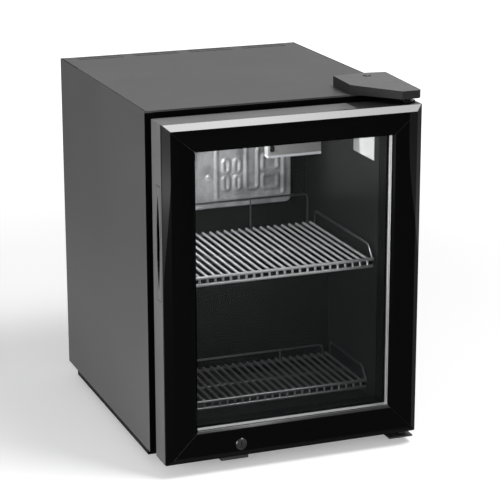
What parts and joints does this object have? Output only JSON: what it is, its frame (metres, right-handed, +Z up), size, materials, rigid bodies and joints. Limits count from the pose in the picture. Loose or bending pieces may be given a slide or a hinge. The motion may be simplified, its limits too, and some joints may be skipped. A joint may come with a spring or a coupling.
{
  "type": "bar fridge",
  "caption": "Counter-top fridge with a double-glazed, right-hinged door, wire shelves, ceiling lamp, roll-bond cooling plate, and a compressor and condenser behind a slotted cover.",
  "frame": {"origin": "on the floor plane under the feet, below the middle of the overall width and depth", "axes": "+X to the right seen from the front, -Y out through the door, +Z up"},
  "size_m": [0.38, 0.4754, 0.5186],
  "materials": {
    "painted_steel": "matte charcoal paint with a fine grain",
    "zinc_steel": "bare zinc-plated sheet",
    "gloss_black_frame": "high gloss black",
    "grey_plastic": "satin mid-grey extruded plastic",
    "black_plastic": "satin black moulding",
    "hinge_plastic": "satin dark grey moulding",
    "liner_plastic": "dark charcoal vacuum-formed sheet",
    "foam": "cut polyurethane foam",
    "rubber": "matte black",
    "chrome_wire": "bright plated wire",
    "aluminium": "bare, lightly brushed",
    "glass": "clear tempered glass",
    "compressor_enamel": "gloss black enamel",
    "copper": "bare tube, slightly tarnished",
    "white_plastic": "plain satin white",
    "lamp_diffuser": "milky translucent plastic, lit from inside",
    "lock_metal": "dark polished metal"
  },
  "bodies": {
    "cabinet": {"side_panel_left": "painted_steel", "side_panel_right": "painted_steel", "top_panel": "painted_steel", "front_frame": "painted_steel", "inner_liner": "liner_plastic", "insulation_foam": "foam", "back_panel": "zinc_steel", "compressor_bay_panel": "zinc_steel", "rear_cover": "painted_steel", "base_tray": "black_plastic", "foot_front_left": "rubber", "foot_front_right": "rubber", "foot_rear_left": "rubber", "foot_rear_right": "rubber", "compressor": "compressor_enamel", "compressor_grommet_1": "rubber", "compressor_grommet_2": "rubber", "compressor_grommet_3": "rubber", "compressor_grommet_4": "rubber", "terminal_box": "black_plastic", "condenser_tube": "compressor_enamel", "condenser_grid": "compressor_enamel", "suction_tube": "copper", "discharge_tube": "copper", "filter_drier": "copper", "capillary_tube": "copper", "thermostat_body": "zinc_steel", "mains_gland": "rubber", "upper_shelf": "chrome_wire", "lower_shelf": "chrome_wire", "evaporator_plate": "aluminium", "evaporator_screw_1": "zinc_steel", "evaporator_screw_2": "zinc_steel", "lamp_housing": "white_plastic", "lamp_diffuser": "lamp_diffuser", "lamp_board": "white_plastic", "wall_label": "white_plastic", "top_hinge_plate": "zinc_steel", "hinge_cover": "hinge_plastic", "hinge_cover_screw": "zinc_steel", "bottom_hinge_bracket": "painted_steel", "lock_strike": "painted_steel"},
    "door": {"door_rear_frame": "grey_plastic", "door_top_rail": "gloss_black_frame", "door_bottom_rail": "gloss_black_frame", "door_left_stile": "gloss_black_frame", "door_right_stile": "gloss_black_frame", "outer_glass": "glass", "glass_spacer": "aluminium", "inner_glass": "glass", "door_gasket": "rubber", "handle_insert": "grey_plastic", "door_hinge_block": "black_plastic", "top_hinge_bush": "white_plastic", "bottom_hinge_bush": "white_plastic", "lock_housing": "lock_metal"},
    "lock": {"lock_core": "lock_metal", "lock_cam": "zinc_steel"},
    "lamp_switch": {"lamp_rocker": "black_plastic"},
    "thermostat": {"thermostat_knob": "black_plastic"}
  },
  "joints": [
    {"name": "door_hinge", "type": "hinge", "parent": "cabinet", "child": "door", "pos_m": [0.178, -0.20735, 0.2575], "axis": [0, 0, 1], "range_deg": [0, 120]},
    {"name": "lock_turn", "type": "hinge", "parent": "door", "child": "lock", "pos_m": [-0.078, -0.22485, 0.04], "axis": [0, -1, 0], "range_deg": [0, 90]},
    {"name": "lamp_rocker_tilt", "type": "hinge", "parent": "cabinet", "child": "lamp_switch", "pos_m": [0.016, -0.11085, 0.4215], "axis": [1, 0, 0], "range_deg": [-7, 7]},
    {"name": "thermostat_turn", "type": "hinge", "parent": "cabinet", "child": "thermostat", "pos_m": [0.105, 0.22365, 0.085], "axis": [0, 1, 0], "range_deg": [0, 270]}
  ]
}
